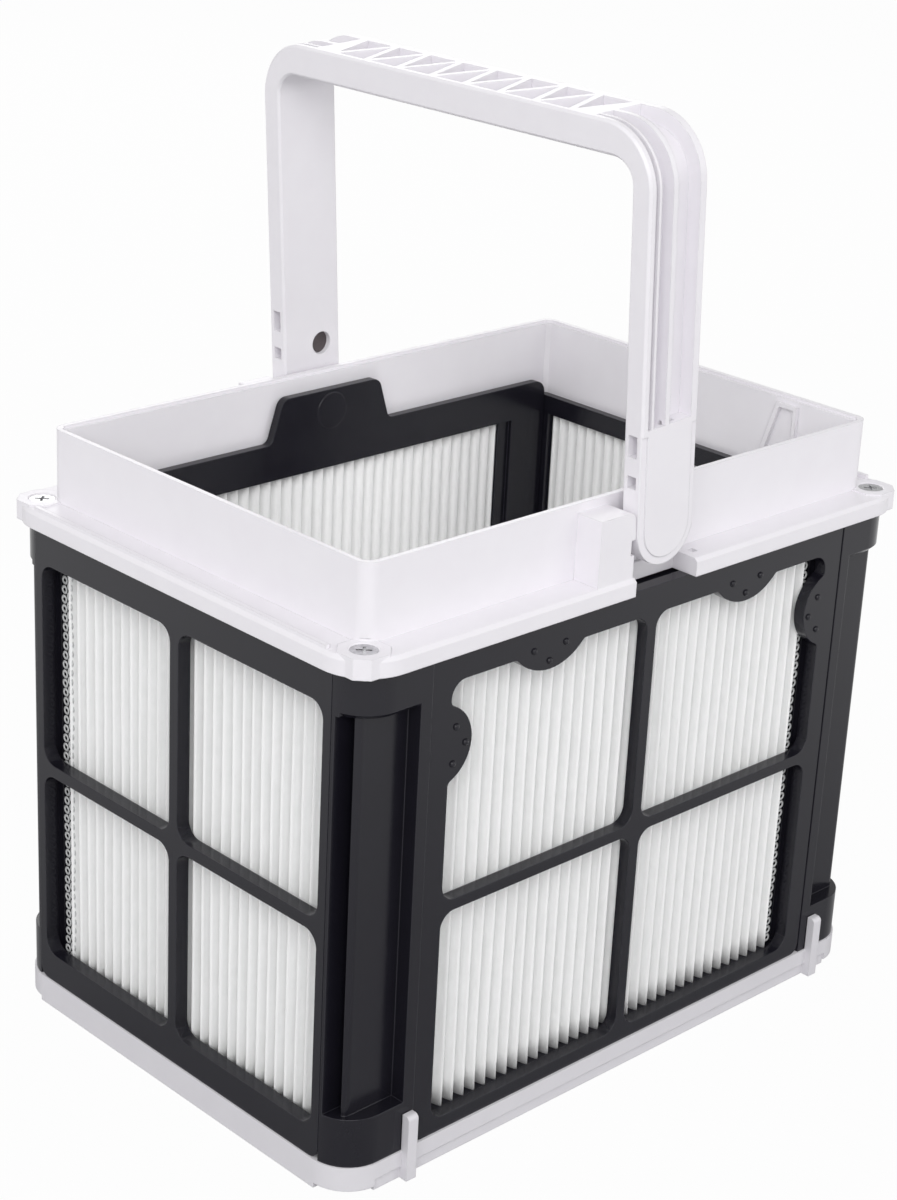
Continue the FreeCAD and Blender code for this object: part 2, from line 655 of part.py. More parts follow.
def long_cartridge_frame():
    """Frame of the long cartridge at +Y: a plate with a pull tab, and the surround of the media outside it."""
    frame = plate_with_tab(LONG_CARTRIDGE_HALF, LONG_CARTRIDGE_TOP_Z)
    frame = frame.fuse(surround(LONG_FACE_Y, LONG_SURROUND_Y, LONG_SURROUND_HALF, LONG_OPENING_HALF))
    frame = frame.cut(media_opening(LONG_FACE_Y, LONG_SURROUND_Y, LONG_OPENING_HALF))
    step = LONG_OPENING_HALF + PLATE_STEP
    inner = LONG_FACE_Y - CARTRIDGE_PLATE
    frame = frame.cut(box(-step, step, inner - 1, inner + CARTRIDGE_PLATE / 2, MEDIA_BOTTOM_Z, MEDIA_TOP_Z))
    return one_solid(frame)


def short_cartridge_frame():
    """Frame of the short cartridge at +X, held between the posts behind the ends of the long ones."""
    face = SHORT_FACE_X
    frame = box(-LONG_FACE_Y, LONG_FACE_Y, face - CARTRIDGE_PLATE, face, CARTRIDGE_Z, SHORT_CARTRIDGE_TOP_Z)
    corners = [edge for edge in edges_along(frame, V(0, 0, 1)) if edge.Vertexes[0].Y > face - 1e-6]
    frame = frame.makeChamfer(CARTRIDGE_BEVEL, corners)
    frame = frame.fuse(surround(face, SHORT_SURROUND_X, SHORT_SURROUND_HALF, SHORT_OPENING_HALF))
    frame = frame.cut(media_opening(face, SHORT_SURROUND_X, SHORT_OPENING_HALF))
    return turned(one_solid(frame), -90)


def pleated_media(opening_half, outer, strip):
    """Zig-zag sheet along X with its outer tips at a face at +Y, and a flat strip at each end."""
    count = int(2 * (opening_half - strip) / PLEAT_PITCH)
    half = count * PLEAT_PITCH / 2
    line = []
    for step in range(count):
        left = -half + step * PLEAT_PITCH
        line += [(left, outer - PLEAT_DEPTH), (left + PLEAT_PITCH / 2, outer)]
    line.append((half, outer - PLEAT_DEPTH))
    back = [(x, y - PLEAT_SHEET) for x, y in reversed(line)]
    sheet = prism([(x, y, MEDIA_BOTTOM_Z) for x, y in line + back], V(0, 0, MEDIA_TOP_Z - MEDIA_BOTTOM_Z))
    inside = half - PLEAT_PITCH / 2
    strip = box(inside, opening_half - MEDIA_GAP, outer - STRIP_THICKNESS, outer, MEDIA_BOTTOM_Z, MEDIA_TOP_Z)
    return one_solid(sheet.fuse([strip, mirror_x(strip)]))


def handle():
    """Bail handle: a U of two legs and a trussed bar, leaning on its stops."""
    blank = handle_outline(0.0, FOOT_RADIUS)
    sides = lambda p: abs(abs(p.x) - FOOT_RADIUS) < 1e-6 and p.z > PIVOT_Z + 1
    blank = chamfered_where(blank, HANDLE_CHAMFER, sides)
    feet = rod(FOOT_RADIUS, V(0, -HALF_Y, PIVOT_Z), V(0, 1, 0), WIDTH)
    above = box(-FOOT_RADIUS, FOOT_RADIUS, -HALF_Y, HALF_Y, PIVOT_Z, BAR_OUTER_Z + 1)
    shape = blank.common(feet.fuse(above))
    shape = shape.cut(leg_grooves())
    shape = shape.cut(truss_pockets())
    for side in (-1, 1):
        shape = shape.cut(foot_details(side))
    shape = one_solid(shape)
    shape.rotate(V(0, 0, PIVOT_Z), V(0, 1, 0), -HANDLE_LEAN)
    return shape


def handle_outline(inset, half_width):
    """U shape swept across the handle's width, its outer side moved in by an inset."""
    outer_y = LEG_OUTER_Y - inset
    outer_z = BAR_OUTER_Z - inset
    low = PIVOT_Z - FOOT_RADIUS - 1
    body = box(-half_width, half_width, -outer_y, outer_y, low, outer_z)
    top = [edge for edge in edges_along(body, V(1, 0, 0)) if edge.Vertexes[0].Z > outer_z - 1e-6]
    body = body.makeFillet(HANDLE_CORNER_RADIUS - inset, top)
    hollow = box(-half_width - 1, half_width + 1, -LEG_INNER_Y, LEG_INNER_Y, low - 1, BAR_INNER_Z)
    top = [edge for edge in edges_along(hollow, V(1, 0, 0)) if edge.Vertexes[0].Z > BAR_INNER_Z - 1e-6]
    return body.cut(hollow.makeFillet(HANDLE_INNER_RADIUS, top))


def groove_spans():
    """Where the three grooves of a leg start and end across its width."""
    first = -FOOT_RADIUS + LEFT_FLANGE
    second = first + NARROW_GROOVE + THIN_RIB
    third = second + MIDDLE_GROOVE + CENTRE_RIB
    last = (third, FOOT_RADIUS - RIGHT_FLANGE)
    return [(first, first + NARROW_GROOVE), (second, second + MIDDLE_GROOVE), last]


def leg_grooves():
    """Grooves that run up both legs from the ledge and round the corners into the bar."""
    skin = handle_outline(0.0, FOOT_RADIUS + 1).cut(handle_outline(CHANNEL_DEPTH, FOOT_RADIUS + 2))
    ledge = PIVOT_Z + LEDGE_RISE
    tools = []
    for x0, x1 in groove_spans():
        for side in (-1, 1):
            span = sorted((side * TRUSS_HALF_LENGTH, side * (HALF_Y + 1)))
            zone = box(x0, x1, span[0], span[1], ledge, BAR_OUTER_Z + 1)
            tools.append(skin.common(zone))
    return tools


def truss_pockets():
    """Triangular hollows on top of the bar, alternating to both sides of a zig-zag rib."""
    left = -FOOT_RADIUS + LEFT_FLANGE
    right = FOOT_RADIUS - RIGHT_FLANGE
    cell = (TRUSS_HALF_LENGTH - TRUSS_RIB) / TRUSS_CELLS
    pockets = []
    for step in range(2 * TRUSS_CELLS - 1):
        middle = -TRUSS_HALF_LENGTH + TRUSS_RIB + (step + 1) * cell
        wall, tip = (left, right) if step % 2 else (right, left)
        toward = 1 if tip > wall else -1
        reach = cell - TRUSS_RIB
        corners = [(wall, middle - reach), (wall, middle + reach), (tip - toward * TRUSS_RIB, middle)]
        depth_z = BAR_OUTER_Z - CHANNEL_DEPTH
        pockets.append(prism([(x, y, depth_z) for x, y in corners], V(0, 0, CHANNEL_DEPTH + 1)))
    return pockets


def foot_details(side):
    """Border step, edge pockets, dimple, ledge slit and pin hole of one leg."""
    outer = LEG_OUTER_Y
    border_top = PIVOT_Z + LEDGE_RISE - 2
    wide = FOOT_RADIUS + 1
    whole = box(-wide, wide, outer - FOOT_STEP, outer + 1, PIVOT_Z - wide, border_top)
    inside = FOOT_RADIUS - FOOT_BORDER
    panel = rod(inside, V(0, outer - 1, PIVOT_Z), V(0, 1, 0), 3)
    panel = panel.fuse(box(-inside, inside, outer - 1, outer + 2, PIVOT_Z, border_top + 1))
    tools = whole.cut(panel)
    middle = (LEG_INNER_Y + LEG_OUTER_Y) / 2
    rows = [(UPPER_POCKET_RISE, UPPER_POCKET_HEIGHT), (LOWER_POCKET_RISE, LOWER_POCKET_HEIGHT)]
    for rise, height in rows:
        tools = tools.fuse(box(-wide, -FOOT_RADIUS + LEG_POCKET_DEPTH, middle - LEG_POCKET_WIDTH / 2,
                               middle + LEG_POCKET_WIDTH / 2, PIVOT_Z + rise, PIVOT_Z + rise + height))
    place = V(DIMPLE_PLACE, LEG_INNER_Y - 1, PIVOT_Z + DIMPLE_RISE)
    dimple = rod(DIMPLE_RADIUS, place, V(0, 1, 0), DIMPLE_DEPTH + 1)
    hole = rod(PIVOT_RADIUS + PIN_GAP, V(0, LEG_INNER_Y - 1, PIVOT_Z), V(0, 1, 0), PIVOT_BITE + 1 + REST_GAP)
    slit_y = outer - CHANNEL_DEPTH / 2
    ledge = PIVOT_Z + LEDGE_RISE
    slit = box(-SLIT_WIDTH / 2, SLIT_WIDTH / 2, slit_y, slit_y + SLIT_THICKNESS, ledge - SLIT_DEPTH, ledge + 1)
    tools = tools.fuse([dimple, hole, slit])
    return tools if side > 0 else mirror_y(tools)


def handle_pivot():
    """Pin at +Y, pressed into the boss from outside and running in the leg."""
    start = WELL_Y + PIVOT_SKIN
    return rod(PIVOT_RADIUS, V(0, start, PIVOT_Z), V(0, 1, 0), LEG_INNER_Y + PIVOT_BITE - start)


def base_tray():
    """White tray under the canister, with skirt, clip fins and two inlet holes."""
    shape = slab(BASE_X, BASE_Y, 0, BASE_HEIGHT, BASE_RADIUS)
    x = BASE_X - BASE_WALL
    y = BASE_Y - BASE_WALL
    shape = shape.cut(bevelled_box(-x, x, -y, y, -1, BASE_HEIGHT - BASE_FLOOR, BASE_RADIUS - BASE_WALL))
    inside = BASE_X - CORNER_LIFT_LENGTH
    lift = box(inside, BASE_X + 1, BASE_Y - CORNER_LIFT_LENGTH, BASE_Y + 1, -1, CORNER_LIFT)
    shape = shape.cut(four_corners(lift))
    step = box(-inside, inside, BASE_Y - SKIRT_STEP, BASE_Y + 1, -1, SKIRT_STEP_Z)
    shape = shape.cut([step, mirror_y(step)])
    shape = shape.fuse(side_fins())
    hole = inlet_hole()
    shape = shape.cut([hole, mirror_x(hole)])
    return one_solid(shape)


def side_fins():
    """Upright fins on the long sides of the base."""
    fins = []
    for left, right in ((-FIN_LEFT, -FIN_LEFT + FIN_WIDTH), (FIN_RIGHT, FIN_RIGHT + FIN_WIDTH)):
        fin = box(left, right, BASE_Y - BASE_WALL, HALF_Y + FIN_REACH - BASE_SET_BACK, 0, FIN_RISE)
        top = [edge for edge in edges_along(fin, V(1, 0, 0))
               if edge.Vertexes[0].Z > FIN_RISE - 1e-6 and edge.Vertexes[0].Y > BASE_Y]
        fin = fin.makeFillet(1.6, top)
        fin = fin.cut(box(left - 1, right + 1, 0, BODY_Y + FIT_GAP, BASE_HEIGHT, FIN_RISE + 1))
        fins += [fin, mirror_y(fin)]
    return fins


def inlet_housing():
    """Duct that stands on the tray round the inlet at +X, with the two ears of its flap."""
    x0 = INLET_PLACE - INLET_LENGTH / 2
    half = INLET_WIDTH / 2
    top = BASE_HEIGHT + INLET_RISE
    duct = bevelled_box(x0 - INLET_WALL, x0 + INLET_LENGTH + INLET_WALL, -half - INLET_WALL, half + INLET_WALL,
                        BASE_HEIGHT, top, INLET_BEVEL + INLET_WALL / 2)
    pin_x, pin_z = flap_axis()
    outer = half + INLET_WALL + EAR_STANDOFF
    near = outer - EAR_THICKNESS
    crown = pin_z + EAR_CROWN
    ear = box(pin_x - EAR_WIDTH / 2, pin_x + EAR_WIDTH / 2, near, outer, BASE_HEIGHT, crown)
    top_edges = [edge for edge in edges_along(ear, V(0, 1, 0)) if edge.Vertexes[0].Z > crown - 1e-6]
    ear = ear.makeChamfer(EAR_BEVEL, top_edges)
    ear = ear.cut(rod(FLAP_PIN_RADIUS + PIN_GAP / 2, V(pin_x, 0, pin_z), V(0, 1, 0), outer + 1))
    web = box(pin_x, x0 + INLET_BEVEL + INLET_WALL, near, outer, BASE_HEIGHT, pin_z - KNUCKLE_RADIUS)
    ear = ear.fuse(web)
    return one_solid(duct.fuse([ear, mirror_y(ear)]).cut(inlet_hole()))


def inlet_hole():
    """Open way through the duct at +X."""
    x0 = INLET_PLACE - INLET_LENGTH / 2
    half = INLET_WIDTH / 2
    return bevelled_box(x0, x0 + INLET_LENGTH, -half, half, -1, BASE_HEIGHT + INLET_RISE + 1, INLET_BEVEL)


def flap_axis():
    """X and Z of the hinge pin of the flap at +X."""
    pin_x = INLET_PLACE - INLET_LENGTH / 2 - INLET_WALL - KNUCKLE_RADIUS - REST_GAP
    return pin_x, FLAP_Z + FLAP_THICKNESS / 2


def inlet_flap():
    """Flap at +X that lies on its duct and turns up about its pin."""
    pin_x, pin_z = flap_axis()
    half = INLET_WIDTH / 2 - EAR_THICKNESS + INLET_WALL + EAR_STANDOFF - REST_GAP
    end = INLET_PLACE + INLET_LENGTH / 2 + FLAP_OVERHANG
    plate = box(pin_x, end, -half, half, FLAP_Z, FLAP_Z + FLAP_THICKNESS)
    wide = INLET_WIDTH / 2 + FLAP_OVERHANG
    clear_x = pin_x + EAR_WIDTH / 2 + REST_GAP
    apron = bevelled_box(clear_x, end, -wide, wide, FLAP_Z, FLAP_Z + FLAP_THICKNESS, INLET_BEVEL)
    knuckle = rod(KNUCKLE_RADIUS, V(pin_x, -half, pin_z), V(0, 1, 0), 2 * half)
    shape = plate.fuse([apron, knuckle])
    shape = shape.cut(rod(FLAP_PIN_RADIUS + PIN_GAP, V(pin_x, -wide, pin_z), V(0, 1, 0), 2 * wide))
    return one_solid(shape)


def flap_pin():
    """Hinge pin of the flap at +X."""
    pin_x, pin_z = flap_axis()
    half = INLET_WIDTH / 2 + INLET_WALL + EAR_STANDOFF
    return rod(FLAP_PIN_RADIUS, V(pin_x, -half, pin_z), V(0, 1, 0), 2 * half)


def top_screws():
    """Four cross-head screws through the plate into the posts."""
    screw = countersunk_screw()
    top = PLATE_TOP_Z + PAD_RISE - REST_GAP
    for angle in (45, 135):
        slot = box(-SCREW_SLOT_LENGTH / 2, SCREW_SLOT_LENGTH / 2, -SCREW_SLOT_WIDTH / 2, SCREW_SLOT_WIDTH / 2,
                   top - SCREW_SLOT_DEPTH, top + 1)
        slot.rotate(V(0, 0, 0), V(0, 0, 1), angle)
        slot.translate(V(SCREW_X, SCREW_Y, 0))
        screw = screw.cut(slot)
    return Part.makeCompound(four_corners(one_solid(screw)))


def main():
    """Build every piece and write it under its node name."""
    os.makedirs("parts", exist_ok=True)
    save("top_plate", top_plate())
    save("base_tray", base_tray())
    save("handle", handle())
    post = corner_post()
    save("corner_post_back_right", post)
    save("corner_post_back_left", mirror_x(post))
    save("corner_post_front_right", mirror_y(post))
    save("corner_post_front_left", mirror_x(mirror_y(post)))
    long_frame = long_window_frame()
    save("long_window_frame_back", long_frame)
    save("long_window_frame_front", mirror_y(long_frame))
    short_frame = short_window_frame()
    save("short_window_frame_right", short_frame)
    save("short_window_frame_left", mirror_x(short_frame))
    long_cartridge = long_cartridge_frame()
    save("long_cartridge_frame_back", long_cartridge)
    save("long_cartridge_frame_front", mirror_y(long_cartridge))
    short_cartridge = short_cartridge_frame()
    save("short_cartridge_frame_right", short_cartridge)
    save("short_cartridge_frame_left", mirror_x(short_cartridge))
    long_media = pleated_media(LONG_OPENING_HALF, LONG_SURROUND_Y - MEDIA_GAP, LONG_STRIP)
    save("long_pleats_back", long_media)
    save("long_pleats_front", mirror_y(long_media))
    short_media = turned(pleated_media(SHORT_OPENING_HALF, SHORT_SURROUND_X - MEDIA_GAP, SHORT_STRIP), -90)
    save("short_pleats_right", short_media)
    save("short_pleats_left", mirror_x(short_media))
    pivot = handle_pivot()
    save("handle_pivot_back", pivot)
    save("handle_pivot_front", mirror_y(pivot))
    housing = inlet_housing()
    save("inlet_housing_right", housing)
    save("inlet_housing_left", mirror_x(housing))
    flap = inlet_flap()
    save("inlet_flap_right", flap)
    save("inlet_flap_left", mirror_x(flap))
    pin = flap_pin()
    save("flap_pin_right", pin)
    save("flap_pin_left", mirror_x(pin))
    save("top_screws", top_screws())


main()
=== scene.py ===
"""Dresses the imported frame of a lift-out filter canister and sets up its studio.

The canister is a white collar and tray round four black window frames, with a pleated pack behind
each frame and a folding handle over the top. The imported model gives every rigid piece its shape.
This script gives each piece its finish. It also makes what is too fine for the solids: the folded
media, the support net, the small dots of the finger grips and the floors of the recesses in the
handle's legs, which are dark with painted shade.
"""

import logging
import math
from dataclasses import dataclass
from enum import Enum

import bmesh
import bpy
import numpy as np
from mathutils import Matrix, Vector


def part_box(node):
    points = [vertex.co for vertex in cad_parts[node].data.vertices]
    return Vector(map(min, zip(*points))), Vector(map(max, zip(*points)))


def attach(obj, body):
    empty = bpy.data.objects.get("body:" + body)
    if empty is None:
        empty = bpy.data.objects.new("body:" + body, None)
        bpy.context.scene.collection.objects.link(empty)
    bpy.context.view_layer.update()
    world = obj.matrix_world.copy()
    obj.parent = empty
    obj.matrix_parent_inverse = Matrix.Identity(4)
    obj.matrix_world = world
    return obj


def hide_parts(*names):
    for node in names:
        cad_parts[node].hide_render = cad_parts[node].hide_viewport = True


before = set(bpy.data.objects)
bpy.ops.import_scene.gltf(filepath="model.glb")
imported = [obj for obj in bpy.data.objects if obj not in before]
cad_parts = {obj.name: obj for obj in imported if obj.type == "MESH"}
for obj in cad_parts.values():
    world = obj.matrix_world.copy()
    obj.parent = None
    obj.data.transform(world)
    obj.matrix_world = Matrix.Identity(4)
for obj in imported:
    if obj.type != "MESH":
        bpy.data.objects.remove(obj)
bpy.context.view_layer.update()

log = logging.getLogger("canister")

MM = 0.001
Colour = tuple[float, float, float, float]
Triple = tuple[float, float, float]
PURE_WHITE: Colour = (1.0, 1.0, 1.0, 1.0)
UNSTRETCHED: Triple = (1.0, 1.0, 1.0)
MIDDLE: Triple = (0.0, 0.0, 120 * MM)
MERGE_DISTANCE = 0.002 * MM

# The attribute that tells the media's finish where a point lies between valley and ridge
FOLD = "fold"

# Socket numbers of a Mix node that is set to colours
MIX_FACTOR, MIX_FIRST, MIX_SECOND, MIX_RESULT = 0, 6, 7, 2


def shade(red: int, green: int, blue: int) -> Colour:
    """Linear colour of an 8-bit screen colour.

    The screen's curve is a straight line near black and a power above it.

    Args:
        red: Red from 0 to 255.
        green: Green from 0 to 255.
        blue: Blue from 0 to 255.

    Returns:
        The colour as four linear numbers, opaque.
    """
    values = np.array([red, green, blue]) / 255.0
    linear = np.where(values <= 0.04045, values / 12.92, ((values + 0.055) / 1.055) ** 2.4)
    return (*linear.tolist(), 1.0)


class Side(Enum):
    """The four sides of the canister, each with its outward direction in plan."""

    FRONT = (0.0, -1.0)
    BACK = (0.0, 1.0)
    LEFT = (-1.0, 0.0)
    RIGHT = (1.0, 0.0)

    @property
    def label(self) -> str:
        """Name of the side as node names end with it."""
        return self.name.lower()

    @property
    def is_long(self) -> bool:
        """True for the two long sides."""
        return self in (Side.FRONT, Side.BACK)

    def place(self, along: np.ndarray, outward: np.ndarray | float,
              height: np.ndarray) -> np.ndarray:
        """Points of this side in the frame of the canister.

        The direction along the side is up crossed with outward, so a grid whose columns run along
        and whose rows run up faces outwards.

        Args:
            along: Distances along the side from its middle.
            outward: Distances outward from the canister's axis.
            height: Heights above the floor.

        Returns:
            An array with one more axis, which holds X, Y and Z.
        """
        along, outward, height = np.broadcast_arrays(along, outward, height)
        normal_x, normal_y = self.value
        x = outward * normal_x - along * normal_y
        y = outward * normal_y + along * normal_x
        return np.stack([x, y, height], axis=-1)


class Expr:
    """A value that changes over a surface: one output socket of a node tree."""

    def __init__(self, shader: "Shader", socket: bpy.types.NodeSocket) -> None:
        """Wrap a socket.

        Args:
            shader: The tree that the socket belongs to.
            socket: The output socket.
        """
        self.shader = shader
        self.socket = socket

    def _math(self, operation: str, left: "Expr | float", right: "Expr | float") -> "Expr":
        """One Math node on two values."""
        return self.shader.node("ShaderNodeMath", {"operation": operation}, {0: left, 1: right})

    def __add__(self, other: "Expr | float") -> "Expr":
        """Sum."""
        return self._math("ADD", self, other)

    __radd__ = __add__

    def __sub__(self, other: "Expr | float") -> "Expr":
        """Difference."""
        return self._math("SUBTRACT", self, other)

    def __rsub__(self, other: float) -> "Expr":
        """Difference from a number."""
        return self._math("SUBTRACT", other, self)

    def __mul__(self, other: "Expr | float") -> "Expr":
        """Product."""
        return self._math("MULTIPLY", self, other)

    __rmul__ = __mul__

    def clamped(self) -> "Expr":
        """The value held between 0 and 1."""
        return self.shader.node("ShaderNodeClamp", {}, {"Value": self, "Min": 0.0, "Max": 1.0})

    def ramp(self, start: float, gain: float) -> "Expr":
        """The value less a start, times a gain, held between 0 and 1."""
        return ((self - start) * gain).clamped()


class Shader:
    """Builds one node tree from expressions."""

    bevel_samples: int = 4
    edge_gain: float = 5.0

    def __init__(self, tree: bpy.types.NodeTree) -> None:
        """Start with an empty tree.

        Args:
            tree: The node tree of a material or a world.
        """
        tree.nodes.clear()
        self.tree = tree

    def node(self, kind: str, settings: dict | None = None, sockets: dict | None = None,
             out: int | str = 0) -> Expr:
        """Add any node.

        Args:
            kind: The node's type.
            settings: Attributes of the node, set first.
            sockets: Values or expressions for its input sockets, by name or number.
            out: Name or number of the output that is wanted.

        Returns:
            The wanted output as an expression.
        """
        made = self.tree.nodes.new(kind)
        for key, value in (settings or {}).items():
            setattr(made, key, value)
        for key, value in (sockets or {}).items():
            if isinstance(value, Expr):
                self.tree.links.new(value.socket, made.inputs[key])
            else:
                made.inputs[key].default_value = value
        return Expr(self, made.outputs[out])

    def blend(self, factor: Expr, first: "Colour | Expr", second: "Colour | Expr") -> Expr:
        """Colour between two colours.

        Args:
            factor: 0 gives the first colour and 1 the second.
            first: The first colour.
            second: The second colour.

        Returns:
            The mixed colour.
        """
        sockets = {MIX_FACTOR: factor, MIX_FIRST: first, MIX_SECOND: second}
        return self.node("ShaderNodeMix", {"data_type": "RGBA"}, sockets, MIX_RESULT)

    def mixed(self, factor: Expr, first: Expr, second: Expr) -> Expr:
        """Surface between two surfaces: 0 gives the first and 1 the second."""
        return self.node("ShaderNodeMixShader", {}, {0: factor, 1: first, 2: second})

    def light_path(self, ray: str) -> Expr:
        """1 for rays of one kind and 0 for others."""
        return self.node("ShaderNodeLightPath", out=ray)

    def position(self, stretch: Triple = UNSTRETCHED) -> Expr:
        """Place on the object as a vector, with each axis stretched."""
        place = self.node("ShaderNodeTexCoord", out="Object")
        return self.node("ShaderNodeMapping", {}, {"Vector": place, "Scale": stretch})

    def noise(self, size: float, detail: float = 2.0, stretch: Triple = UNSTRETCHED) -> Expr:
        """Cloudy noise from 0 to 1.

        Args:
            size: Width of one cloud, in metres.
            detail: Number of finer layers.
            stretch: Scale of the three axes.

        Returns:
            The noise value.
        """
        sockets = {"Vector": self.position(stretch), "Scale": 1.0 / size, "Detail": detail}
        return self.node("ShaderNodeTexNoise", {}, sockets, "Fac")

    def edge(self, radius: float) -> tuple[Expr, Expr]:
        """Softened normal near edges, and how strongly each point feels an edge.

        The feeling is 1 minus the cosine between the softened normal and the true one, raised by
        a gain, so it is 0 on flats and rises to 1 on an edge.

        Args:
            radius: Width of the softened edge, in metres.

        Returns:
            The softened normal and the edge value.
        """
        soft = self.node("ShaderNodeBevel", {"samples": self.bevel_samples}, {"Radius": radius})
        true = self.node("ShaderNodeNewGeometry", out="Normal")
        dot = {"operation": "DOT_PRODUCT"}
        cosine = self.node("ShaderNodeVectorMath", dot, {0: soft, 1: true}, "Value")
        return soft, ((1.0 - cosine) * self.edge_gain).clamped()

    def bump(self, height: Expr, depth: float, normal: Expr | None = None) -> Expr:
        """Normal bent by a height.

        Args:
            height: Height from 0 to 1.
            depth: What a height of 1 measures, in metres.
            normal: A normal to start from.

        Returns:
            The bent normal.
        """
        sockets = {"Height": height, "Distance": depth, "Strength": 1.0}
        if normal is not None:
            sockets["Normal"] = normal
        return self.node("ShaderNodeBump", {}, sockets)

    def surface(self, **sockets: "Expr | float | Colour") -> Expr:
        """Principled surface; an underscore in a socket's name stands for a space."""
        named = {name.replace("_", " "): value for name, value in sockets.items()}
        return self.node("ShaderNodeBsdfPrincipled", {}, named)

    def finish(self, result: Expr, kind: str = "ShaderNodeOutputMaterial") -> None:
        """Join the result to the output of the tree."""
        output = self.tree.nodes.new(kind)
        self.tree.links.new(result.socket, output.inputs["Surface"])


def new_material(name: str) -> tuple[bpy.types.Material, Shader]:
    """A material and the builder of its nodes.

    Args:
        name: Name of the material.

    Returns:
        The material and its shader.
    """
    material = bpy.data.materials.new(name)
    material.use_nodes = True
    return material, Shader(material.node_tree)


@dataclass(frozen=True)
class MouldedPlastic:
    """Injection-moulded plastic: faint flow marks, a fine grain and lightly polished edges with a
    painted highlight.
    """

    name: str
    body: Colour
    cloud: Colour
    # Painted highlight: the lighter colour laid along edges, where light catches them.
    edge_highlight: Colour
    roughness: float
    flow_depth: float
    grain_depth: float = 0.012 * MM
    edge_radius: float = 0.45 * MM
    edge_highlight_share: float = 0.5
    gloss: float = 0.5
    flow_size: float = 34 * MM
    flow_stretch: Triple = (1.0, 1.0, 0.45)
    patch_size: float = 9 * MM
    patch_detail: float = 3.0
    patch_dulling: float = 0.10
    grain_size: float = 0.55 * MM
    edge_polish: float = 0.08

    def material(self) -> bpy.types.Material:
        """Build the node material.

        Returns:
            The material.
        """
        made, shader = new_material(self.name)
        flow = shader.noise(self.flow_size, stretch=self.flow_stretch)
        patch = shader.noise(self.patch_size, self.patch_detail)
        grain = shader.noise(self.grain_size)
        soft, edge = shader.edge(self.edge_radius)
        tone = shader.blend(patch, self.body, self.cloud)
        # Painted highlight: edges lean towards the lighter edge colour.
        tone = shader.blend(edge * self.edge_highlight_share, tone, self.edge_highlight)
        normal = shader.bump(flow, self.flow_depth, soft)
        normal = shader.bump(grain, self.grain_depth, normal)
        rough = self.roughness + (patch - 0.5) * self.patch_dulling - edge * self.edge_polish
        shader.finish(shader.surface(Base_Color=tone, Roughness=rough, Normal=normal,
                                     Specular_IOR_Level=self.gloss))
        return made


@dataclass(frozen=True)
class FoldedMedia:
    """Non-woven filter sheet: matted fibres, with a painted highlight along the crests of its folds
    and painted light in its valleys.
    """

    name: str = "filter_media"
    # Painted highlight: the whitest colour, along the crests of the folds.
    ridge: Colour = shade(255, 255, 255)
    ridge_start: float = 0.84
    ridge_gain: float = 10.0
    ridge_share: float = 0.9
    # Painted light: the valleys are a touch lighter than the flanks, for light coming through the
    # sheet.
    valley: Colour = shade(254, 254, 254)
    valley_gain: float = 2.2
    flank: Colour = shade(252, 252, 252)
    clump_size: float = 7 * MM
    clump_start: float = 0.1875
    clump_gain: float = 1.6
    fibre: Colour = shade(243, 244, 243)
    fibre_size: float = 1.6 * MM
    fibre_detail: float = 4.0
    fibre_stretch: Triple = (1.0, 1.0, 0.35)
    fibre_start: float = 0.45
    fibre_gain: float = 3.2
    fibre_share: float = 0.6
    fibre_depth: float = 0.10 * MM
    fibre_dulling: float = 0.1
    roughness: float = 0.86
    gloss: float = 0.25
    light_through: float = 0.5
    light_reach: float = 0.4 * MM
    light_spread: Triple = (1.0, 1.0, 1.0)

    def material(self) -> bpy.types.Material:
        """Build the node material.

        Returns:
            The material.
        """
        made, shader = new_material(self.name)
        fold = shader.node("ShaderNodeAttribute", {"attribute_name": FOLD}, out="Fac")
        matted = shader.noise(self.fibre_size, self.fibre_detail, self.fibre_stretch)
        clumps = shader.noise(self.clump_size).ramp(self.clump_start, self.clump_gain)
        fibres = matted.ramp(self.fibre_start, self.fibre_gain) * self.fibre_share
        ridge_highlights = fold.ramp(self.ridge_start, self.ridge_gain) * self.ridge_share
        tone = shader.blend(clumps, self.flank, self.fibre)
        # Painted light: the deepest part of each fold takes the lighter valley colour.
        tone = shader.blend((1.0 - fold * self.valley_gain).clamped(), tone, self.valley)
        tone = shader.blend(fibres, tone, self.fibre)
        # Painted highlight: the crests take the whitest colour.
        tone = shader.blend(ridge_highlights, tone, self.ridge)
        shader.finish(shader.surface(Base_Color=tone,
                                     Roughness=self.roughness + matted * self.fibre_dulling,
                                     Normal=shader.bump(matted, self.fibre_depth),
                                     Specular_IOR_Level=self.gloss,
                                     Subsurface_Weight=self.light_through,
                                     Subsurface_Radius=self.light_spread,
                                     Subsurface_Scale=self.light_reach))
        return made


@dataclass(frozen=True)
class NetPlastic:
    """Extruded support net: milky plastic with small thick and thin places, painted grey as the
    shade it lies in.
    """

    name: str = "support_net"
    # Painted shade: both tones are greyed because the white net lies in shade beyond the last
    # folds.
    thick: Colour = shade(216, 217, 217)
    thin: Colour = shade(176, 178, 178)
    lump_size: float = 1.1 * MM
    lump_depth: float = 0.06 * MM
    lump_dulling: float = 0.15
    roughness: float = 0.35

    def material(self) -> bpy.types.Material:
        """Build the node material.

        Returns:
            The material.
        """
        made, shader = new_material(self.name)
        lumps = shader.noise(self.lump_size)
        tone = shader.blend(lumps, self.thick, self.thin)
        rough = self.roughness + lumps * self.lump_dulling
        normal = shader.bump(lumps, self.lump_depth)
        shader.finish(shader.surface(Base_Color=tone, Roughness=rough, Normal=normal))
        return made


